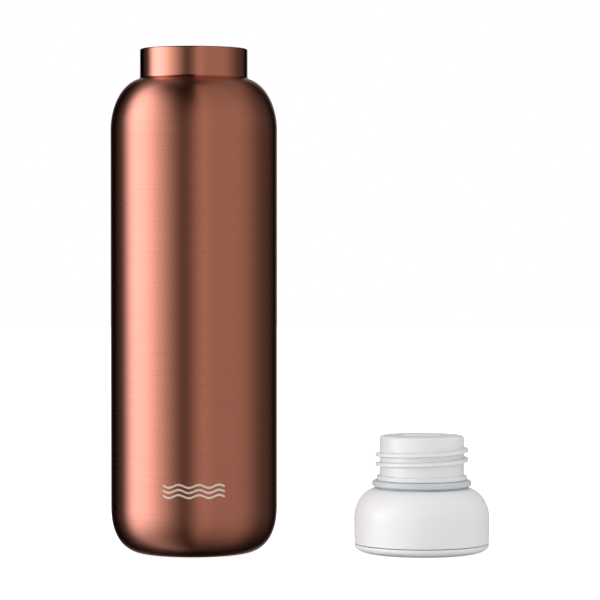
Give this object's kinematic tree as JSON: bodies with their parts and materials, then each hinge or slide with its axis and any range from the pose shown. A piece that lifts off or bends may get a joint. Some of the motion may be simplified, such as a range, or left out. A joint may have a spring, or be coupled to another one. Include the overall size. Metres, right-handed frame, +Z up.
{
  "type": "vacuum bottle",
  "caption": "Slim copper-finish double-wall steel bottle with its white screw stopper cap standing upside down beside it.",
  "frame": {"origin": "centre of the bottle's underside, on the plane that it stands on", "axes": "+Z up the bottle's axis to its mouth, +X towards the cap standing beside it, -Y towards the etched mark on the front"},
  "size_m": [0.1597, 0.07, 0.212],
  "materials": {
    "copper_lacquer": "round-brushed steel under clear copper-tinted lacquer",
    "liner_steel": "electropolished stainless steel",
    "base_steel": "plain pressed stainless steel",
    "solder": "dull solder",
    "base_cover": "copper-tinted lacquer, satin",
    "foil": "bright copper foil",
    "getter_tablet": "sintered, matt grey",
    "cap_plastic": "fine satin moulding",
    "stopper_plastic": "semi-gloss moulding",
    "seal_silicone": "translucent pale blue silicone",
    "foam": "closed-cell foam"
  },
  "bodies": {
    "bottle": {"outer_shell": "copper_lacquer", "inner_flask": "liner_steel", "inner_base": "liner_steel", "outer_base": "base_steel", "vacuum_seal": "solder", "base_disc": "base_cover", "radiation_foil": "foil", "getter": "getter_tablet"},
    "cap_core": {"cap_insulation": "foam"},
    "cap_seal": {"seal_ring": "seal_silicone"},
    "cap": {"cap_top_plate": "cap_plastic", "cap_shell": "cap_plastic", "stopper": "stopper_plastic"}
  },
  "joints": [
    {"name": "cap_carry", "type": "hinge", "parent": "bottle", "child": "cap_core", "pos_m": [0.04805, 0, 0.13245], "axis": [0, -1, 0], "range_deg": [0, 180]},
    {"name": "cap_advance", "type": "slide", "parent": "cap_core", "child": "cap_seal", "axis": [0, 0, 1], "range_m": [0, 0.026]},
    {"name": "cap_turn", "type": "hinge", "parent": "cap_seal", "child": "cap", "pos_m": [0.0961, 0, 0.02], "axis": [0, 0, 1], "range_deg": [0, 2340]}
  ],
  "couplings": [
    {"joint": "cap_advance", "follows": "cap_turn", "m_per_rad": 0.00063662}
  ]
}
